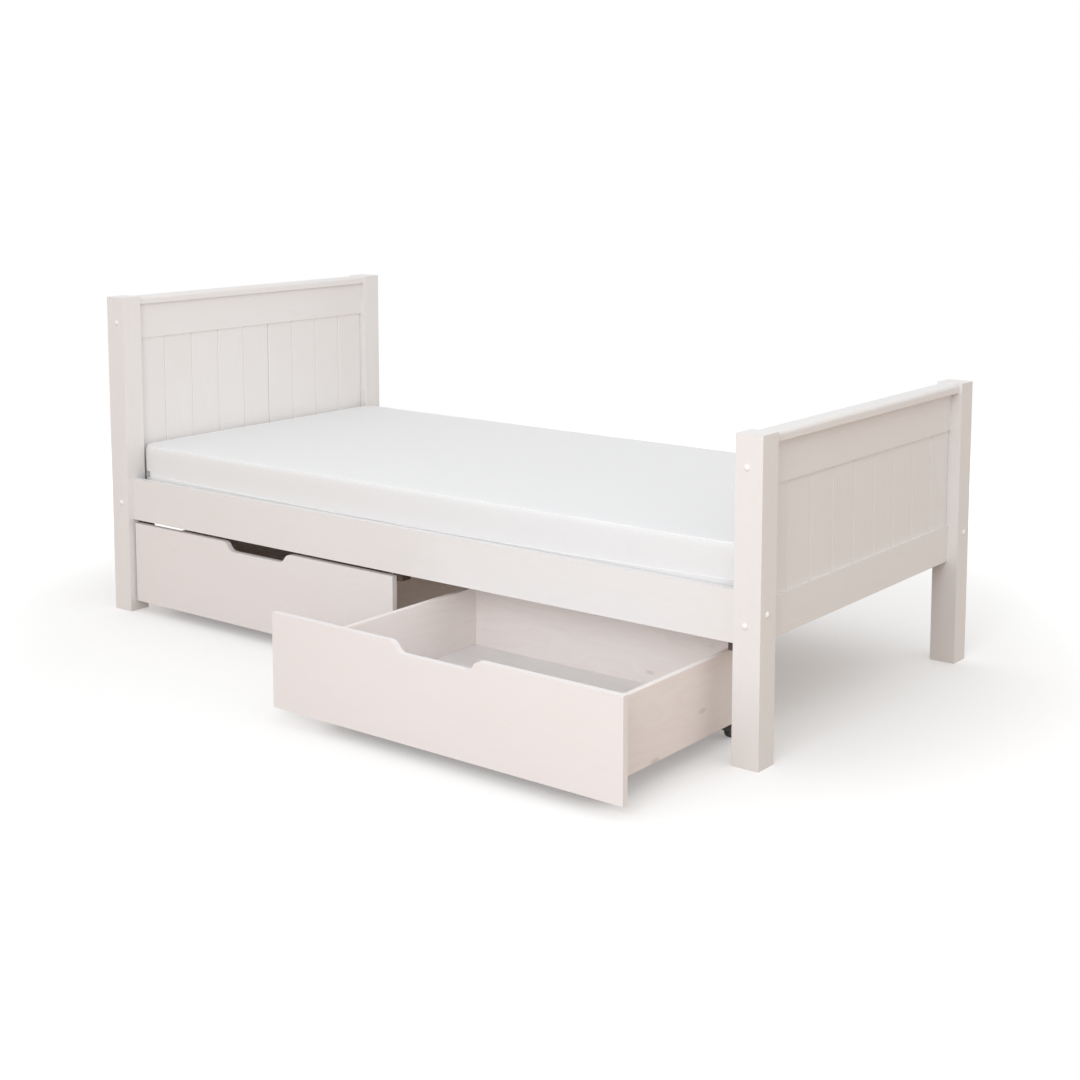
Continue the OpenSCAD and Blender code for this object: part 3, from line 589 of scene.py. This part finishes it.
def make_piping(name, skin, center, half, height, radius):
    """A covered cord half sunk in the cover along one seam, a little uneven as sewn cord is."""
    away = 20 * MM
    path = rounded_outline(half.x + away, half.y + away, CORNER + away, 7 * MM)
    count, sides = len(path), 10
    along_path = np.roll(path, -1, axis=0) - np.roll(path, 1, axis=0)
    vertices, faces = [], []
    for i in range(count):
        outward = Vector((along_path[i][1], -along_path[i][0], 0)).normalized()
        start = Vector((path[i][0] + center[0], path[i][1] + center[1], height(path[i][0])))
        start.z += noise.noise(start * 9.0) * 1.1 * MM + noise.noise(start * 31.0) * 0.4 * MM
        middle = on_skin(skin, start, -outward) - outward * (0.25 * radius)
        thick = radius * (1 + 0.12 * noise.noise(start * 40.0))
        for k in range(sides):
            a = 2 * math.pi * k / sides
            vertices.append(middle + outward * (thick * math.cos(a)) + Vector((0, 0, thick * math.sin(a))))
        j = (i + 1) % count
        for k in range(sides):
            m = (k + 1) % sides
            faces.append((i * sides + k, j * sides + k, j * sides + m, i * sides + m))
    piping = new_object(name, vertices, faces, piping_tape)
    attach(piping, "mattress")


def make_tab(skin, center, half):
    """A small blank label hanging from the fine seam at the front corner of the head."""
    wide, tall, thick = 26 * MM, 14 * MM, 0.9 * MM
    steps, row = 8, 5
    top_z = lower_seam(half.x, half) + 8 * MM
    pivot = Vector((center[0] - half.x + CORNER, center[1] - half.y + CORNER, top_z))
    vertices, faces = [], []
    for layer in (0, 1):
        for i in range(steps + 1):
            for k in range(row):
                turn = math.radians(-108) + (k / (row - 1) - 0.5) * wide / CORNER
                outward = Vector((math.cos(turn), math.sin(turn), 0))
                start = pivot + outward * (CORNER + 30 * MM) - Vector((0, 0, tall * i / steps))
                stand = (0.4 + 2.0 * (i / steps) ** 2) * MM + layer * thick
                vertices.append(on_skin(skin, start, -outward) + outward * stand)
    count = row * (steps + 1)
    for layer in (0, 1):
        for i in range(steps):
            for k in range(row - 1):
                a = layer * count + i * row + k
                quad = (a, a + 1, a + row + 1, a + row)
                faces.append(tuple(reversed(quad)) if layer else quad)
    rim = list(range(row)) + [i * row + row - 1 for i in range(1, steps + 1)]
    rim += [steps * row + k for k in range(row - 2, -1, -1)] + [i * row for i in range(steps - 1, 0, -1)]
    for a, b in zip(rim, rim[1:] + rim[:1]):
        faces.append((a, a + count, b + count, b))
    tab = new_object("mattress_tab", vertices, faces, label_cloth)
    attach(tab, "mattress")


make_mattress()


# ---- floor, light and camera --------------------------------------------------------

def make_floor():
    """A pale floor that turns into plain white light away from the bed, so that no horizon shows."""
    r = 40.0
    corners = [(-r, -r, 0), (r, -r, 0), (r, r, 0), (-r, r, 0)]
    floor = new_object("floor", corners, [(0, 1, 2, 3)], floor_white)


def area_light(name, place, aim, size, power, color):
    data = bpy.data.lights.new(name, "AREA")
    data.shape = "RECTANGLE"
    data.size, data.size_y = size
    data.energy = power
    data.color = color
    lamp = bpy.data.objects.new(name, data)
    lamp.location = place
    lamp.rotation_euler = (Vector(aim) - Vector(place)).to_track_quat("-Z", "Y").to_euler()
    bpy.context.scene.collection.objects.link(lamp)


SKY_LEVEL = 1.05                    # brightness of the room at the horizon
SKY_RISE = -0.22                    # how far that changes up to straight overhead
SKY_HEAD = (1.0, 1.0, 1.0, 1)       # tint of its side at the head
SKY_FOOT = (1.0, 0.98, 0.95, 1)     # tint of its side at the foot
KEY_PLACE = (1.5, -3.4, 1.75)       # the lamp, on the drawer side and toward the foot
KEY_AIM = (0.2, -0.3, 0.4)
KEY_SIZE = (1.6, 1.6)
KEY_POWER = 39
KEY_COLOR = (0.94, 0.97, 1.0)


def make_light():
    """A nearly even white room, a little warmer at the foot, and one large soft lamp."""
    world = bpy.context.scene.world or bpy.data.worlds.new("studio")
    bpy.context.scene.world = world
    world.use_nodes = True
    tree = world.node_tree
    tree.nodes.clear()
    new, link = tree.nodes.new, tree.links.new
    toward = new("ShaderNodeSeparateXYZ")
    link(new("ShaderNodeTexCoord").outputs["Generated"], toward.inputs[0])
    ramp = new("ShaderNodeValToRGB")
    ramp.color_ramp.elements[0].position, ramp.color_ramp.elements[0].color = 0.1, SKY_HEAD
    ramp.color_ramp.elements[1].position, ramp.color_ramp.elements[1].color = 0.9, SKY_FOOT
    link(toward.outputs["X"], ramp.inputs["Fac"])
    level = new("ShaderNodeMath")
    level.operation = "MULTIPLY_ADD"
    level.inputs[1].default_value, level.inputs[2].default_value = SKY_RISE, SKY_LEVEL
    link(toward.outputs["Z"], level.inputs[0])
    room, seen, mix = new("ShaderNodeBackground"), new("ShaderNodeBackground"), new("ShaderNodeMixShader")
    seen.inputs["Color"].default_value = (1, 1, 1, 1)
    link(ramp.outputs["Color"], room.inputs["Color"])
    link(level.outputs[0], room.inputs["Strength"])
    link(new("ShaderNodeLightPath").outputs["Is Camera Ray"], mix.inputs[0])
    link(room.outputs[0], mix.inputs[1])
    link(seen.outputs[0], mix.inputs[2])
    link(mix.outputs[0], new("ShaderNodeOutputWorld").inputs["Surface"])
    area_light("key", KEY_PLACE, KEY_AIM, KEY_SIZE, KEY_POWER, KEY_COLOR)
    bpy.context.scene.view_settings.view_transform = "Standard"


CAMERA_PLACE = (2.700, -3.381, 1.255)
CAMERA_AZIMUTH = 37.88              # degrees round from the drawer side toward the foot
CAMERA_ELEVATION = 6.94             # degrees that it looks down
CAMERA_LENS = 57.74                 # millimetres, on a sensor 36 mm wide
CAMERA_SHIFT = -0.176               # the photo's framing


def make_camera():
    """The photographed view: from the foot end of the drawer side, a little above the headboard."""
    data = bpy.data.cameras.new("camera")
    data.sensor_width = 36.0
    data.lens = CAMERA_LENS
    data.shift_y = CAMERA_SHIFT
    camera = bpy.data.objects.new("camera", data)
    azimuth, elevation = math.radians(CAMERA_AZIMUTH), math.radians(CAMERA_ELEVATION)
    camera.location = CAMERA_PLACE
    back = Vector((math.sin(azimuth) * math.cos(elevation), -math.cos(azimuth) * math.cos(elevation),
                   math.sin(elevation)))
    camera.rotation_euler = (-back).to_track_quat("-Z", "Y").to_euler()
    bpy.context.scene.collection.objects.link(camera)
    bpy.context.scene.camera = camera


make_floor()
make_light()
make_camera()
